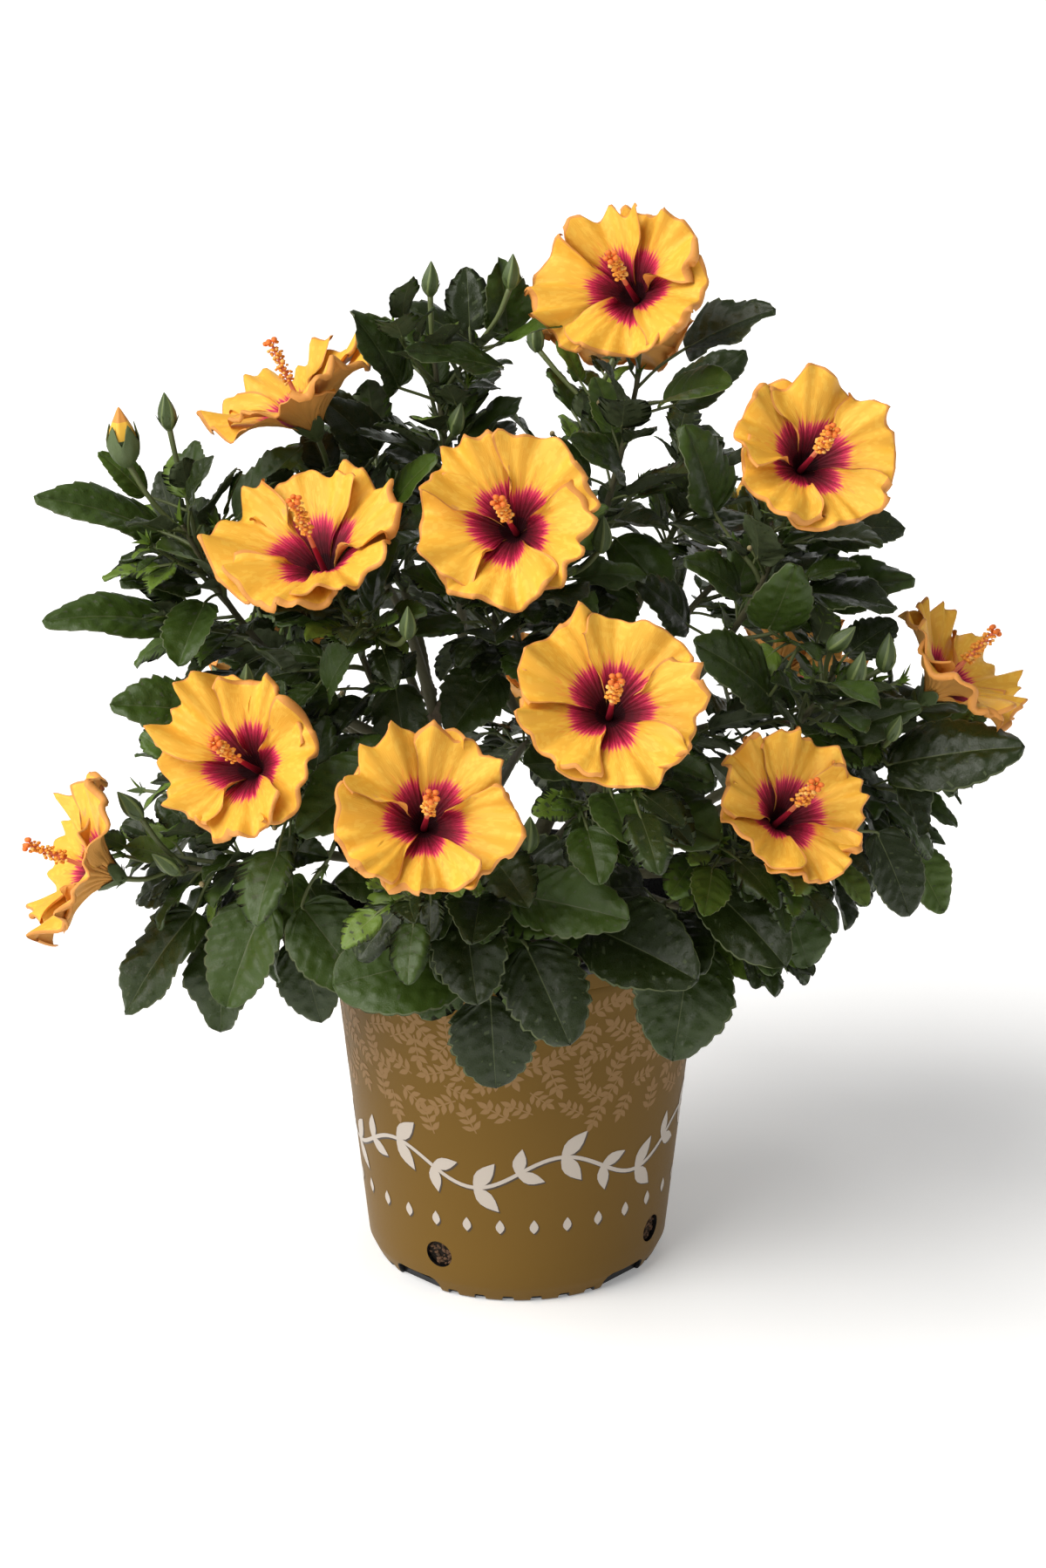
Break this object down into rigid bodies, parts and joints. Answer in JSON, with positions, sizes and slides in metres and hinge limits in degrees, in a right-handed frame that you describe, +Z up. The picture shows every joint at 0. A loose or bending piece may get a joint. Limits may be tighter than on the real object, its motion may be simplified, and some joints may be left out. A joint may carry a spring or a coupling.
{
  "type": "hibiscus shrub",
  "caption": "Flowering hibiscus shrub with spreading leafy boughs, closed buds and large ruffled open blooms, rooted in a tapered round nursery pot.",
  "frame": {"origin": "centre of the pot's flat underside", "axes": "+Z up along the plant's height; -Y is the front, the side with most open blooms"},
  "size_m": [0.6935, 0.6716, 0.7994],
  "materials": {
    "pot": "thin satin plastic, gold-brown, with a black inside and rim",
    "potting_soil": "loose dark bark-based potting mix",
    "bark": "smooth grey-brown to green young bark",
    "foliage": "glossy dark green leaves, green shoots and buds, yellow blooms with a crimson eye"
  },
  "bodies": {
    "root": {"pot": "pot", "potting_soil": "potting_soil", "trunk": "bark", "bough_top": "bark", "bough_upper_left": "bark", "bough_far_right": "bark", "bough_front_right": "bark", "bough_front_low": "bark", "bough_far_left_low": "bark", "bough_back_left": "bark", "bough_back_right": "bark", "bough_upper_mid": "bark", "bough_far_left": "bark", "bough_left_mid": "bark", "bough_centre": "bark", "bough_upper_right": "bark", "bough_right_mid": "bark", "bough_right_low": "bark", "bough_pot_right": "bark", "bough_left_low": "bark", "bough_right_back": "bark", "bough_back_top": "bark", "bough_back_mid": "bark", "bough_back_low": "bark", "bough_left_back": "bark", "bough_back_up_right": "bark", "bough_back_up_left": "bark", "bough_inner_right": "bark", "bough_inner_left": "bark", "bough_inner_low": "bark", "foliage_top": "foliage", "foliage_upper_left": "foliage", "foliage_far_right": "foliage", "foliage_front_right": "foliage", "foliage_front_low": "foliage", "foliage_far_left_low": "foliage", "foliage_back_left": "foliage", "foliage_back_right": "foliage", "foliage_upper_mid": "foliage", "foliage_far_left": "foliage", "foliage_left_mid": "foliage", "foliage_centre": "foliage", "foliage_upper_right": "foliage", "foliage_right_mid": "foliage", "foliage_right_low": "foliage", "foliage_pot_right": "foliage", "foliage_left_low": "foliage", "foliage_right_back": "foliage", "foliage_back_top": "foliage", "foliage_back_mid": "foliage", "foliage_back_low": "foliage", "foliage_left_back": "foliage", "foliage_back_up_right": "foliage", "foliage_back_up_left": "foliage", "foliage_inner_right": "foliage", "foliage_inner_left": "foliage", "foliage_inner_low": "foliage"}
  },
  "joints": []
}
